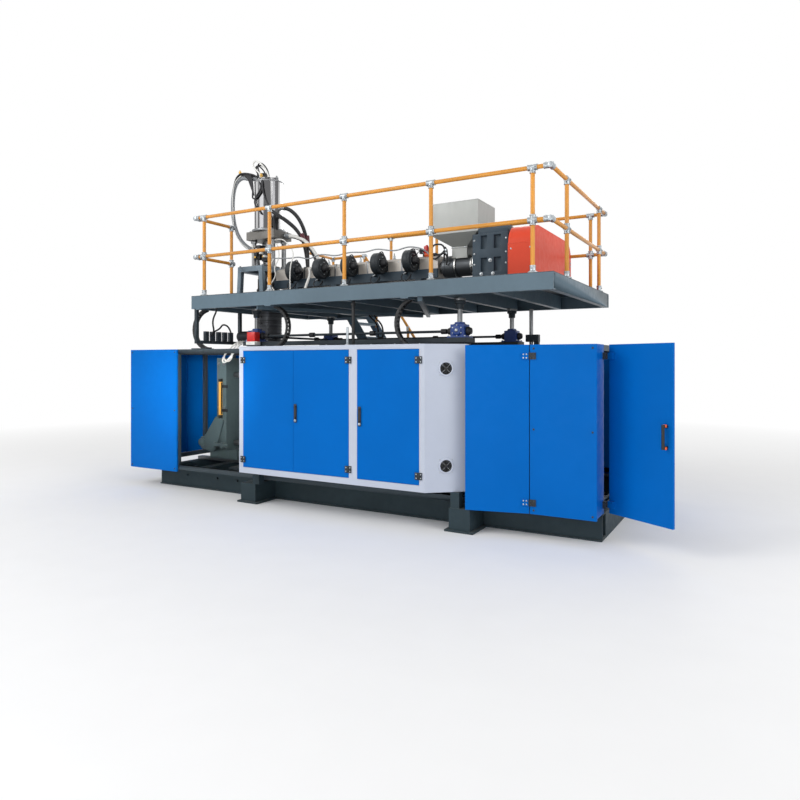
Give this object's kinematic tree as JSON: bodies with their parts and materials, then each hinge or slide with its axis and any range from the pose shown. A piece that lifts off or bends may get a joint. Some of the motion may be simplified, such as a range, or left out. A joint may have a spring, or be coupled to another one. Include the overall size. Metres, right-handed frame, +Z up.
{
  "type": "blow moulding machine",
  "caption": "Floor-standing blow moulding machine: guarded clamp and control cabinet below, railed platform with extruder, hopper and die head above, rear stair.",
  "frame": {"origin": "on the floor, under the middle of the base frame", "axes": "+X to the right along the machine as seen from the control side, +Y away from the control side, +Z up"},
  "size_m": [6.6267, 3.5856, 4.4241],
  "materials": {
    "base_paint": "matt paint",
    "steel": "machined",
    "frame_grey": "satin paint",
    "guard_blue": "satin paint",
    "black_paint": "satin paint",
    "cabinet_white": "satin paint",
    "zinc_plate": "zinc plated",
    "black_plastic": "moulded",
    "dark_grey": "satin paint",
    "jack_blue": "satin paint",
    "platform_grey": "satin paint",
    "rail_yellow": "gloss paint",
    "fitting_silver": "cast",
    "chrome": "polished",
    "shroud_cream": "satin paint",
    "hopper_grey": "satin",
    "gearbox_slate": "satin paint",
    "guard_orange": "satin paint",
    "conduit_grey": "corrugated",
    "hose_white": "smooth",
    "rubber_black": "matt",
    "curtain_yellow": "gloss"
  },
  "bodies": {
    "base": {"base_long_beams": "base_paint", "base_cross_beams": "base_paint", "guard_frame": "frame_grey", "front_panels": "guard_blue", "left_end_panels": "guard_blue", "rear_panels": "guard_blue", "right_end_panels": "guard_blue", "guard_hinges": "black_paint", "cabinet_shell": "cabinet_white", "cabinet_plates": "zinc_plate", "cabinet_hinges": "black_paint", "fan_guards": "cabinet_white", "jack_columns": "dark_grey", "jack_gearboxes": "jack_blue", "jack_drive": "dark_grey", "clamp_tracks": "steel"},
    "platform": {"platform_beams": "platform_grey", "platform_deck": "platform_grey", "railing_tubes": "rail_yellow", "railing_fittings": "fitting_silver", "jack_screws": "steel", "head_stand": "platform_grey", "die_head": "steel", "head_columns": "chrome", "head_top_plate": "steel", "pushout_cylinder": "chrome", "head_manifold": "black_paint", "head_loop": "hose_white", "extruder_barrel": "steel", "heater_shrouds": "shroud_cream", "extruder_cradle": "dark_grey", "blowers": "black_paint", "feed_throat": "black_paint", "feed_box": "hopper_grey", "hopper": "hopper_grey", "gearbox": "gearbox_slate", "belt_guard": "guard_orange", "drive_motor": "dark_grey", "stair": "platform_grey", "stair_handrails": "rail_yellow", "valve_rack": "dark_grey", "drag_chains": "black_plastic", "conduit": "conduit_grey", "head_hoses": "rubber_black"},
    "left_clamp": {"left_platen": "dark_grey", "rear_platen": "dark_grey", "tie_bars": "steel", "light_curtain": "curtain_yellow"},
    "right_clamp": {"right_platen": "dark_grey", "clamp_piston_rod": "chrome"},
    "guard_door_leaf": {"guard_door": "guard_blue"},
    "end_door_leaf": {"end_door": "guard_blue", "end_door_handle": "black_plastic"},
    "cabinet_leaf_left": {"cabinet_door_left": "guard_blue"},
    "cabinet_leaf_centre": {"cabinet_door_centre": "guard_blue"},
    "cabinet_leaf_right": {"cabinet_door_right": "guard_blue"},
    "lock_lever_centre": {"lock_centre": "black_plastic"},
    "lock_lever_right": {"lock_right": "black_plastic"},
    "fan_rotor_low": {"fan_low_rotor": "black_plastic"},
    "fan_rotor_high": {"fan_high_rotor": "black_plastic"}
  },
  "joints": [
    {"name": "platform_lift", "type": "slide", "parent": "base", "child": "platform", "axis": [0, 0, 1], "range_m": [0, 0.15], "deforming": ["drag_chains"]},
    {"name": "left_clamp_slide", "type": "slide", "parent": "base", "child": "left_clamp", "axis": [1, 0, 0], "range_m": [-0.25, 0.08]},
    {"name": "right_clamp_slide", "type": "slide", "parent": "base", "child": "right_clamp", "axis": [-1, 0, 0], "range_m": [-0.25, 0.08]},
    {"name": "guard_door_hinge", "type": "hinge", "parent": "base", "child": "guard_door_leaf", "pos_m": [2.243, -1.3306, 0], "axis": [0, 0, 1], "range_deg": [-13.5, 95]},
    {"name": "end_door_hinge", "type": "hinge", "parent": "base", "child": "end_door_leaf", "pos_m": [2.865, -1.04, 0], "axis": [0, 0, 1], "range_deg": [-20, 121]},
    {"name": "cabinet_left_hinge", "type": "hinge", "parent": "base", "child": "cabinet_leaf_left", "pos_m": [-0.931, -1.62, 0], "axis": [0, 0, -1], "range_deg": [0, 105]},
    {"name": "cabinet_centre_hinge", "type": "hinge", "parent": "base", "child": "cabinet_leaf_centre", "pos_m": [0.474, -1.62, 0], "axis": [0, 0, 1], "range_deg": [0, 105]},
    {"name": "cabinet_right_hinge", "type": "hinge", "parent": "base", "child": "cabinet_leaf_right", "pos_m": [1.268, -1.62, 0], "axis": [0, 0, 1], "range_deg": [0, 105]},
    {"name": "lock_centre_turn", "type": "hinge", "parent": "cabinet_leaf_centre", "child": "lock_lever_centre", "pos_m": [-0.1945, -1.6126, 1.127], "axis": [0, 1, 0], "range_deg": [-90, 0]},
    {"name": "lock_right_turn", "type": "hinge", "parent": "cabinet_leaf_right", "child": "lock_lever_right", "pos_m": [0.606, -1.6126, 1.127], "axis": [0, 1, 0], "range_deg": [-90, 0]},
    {"name": "fan_low_spin", "type": "hinge", "parent": "base", "child": "fan_rotor_low", "pos_m": [1.4845, -1.47934, 0.62], "axis": [0.6361, -0.7716, 0], "continuous": true},
    {"name": "fan_high_spin", "type": "hinge", "parent": "base", "child": "fan_rotor_high", "pos_m": [1.4845, -1.47934, 1.537], "axis": [0.6361, -0.7716, 0], "continuous": true}
  ],
  "couplings": [
    {"joint": "right_clamp_slide", "follows": "left_clamp_slide", "ratio": 1}
  ]
}
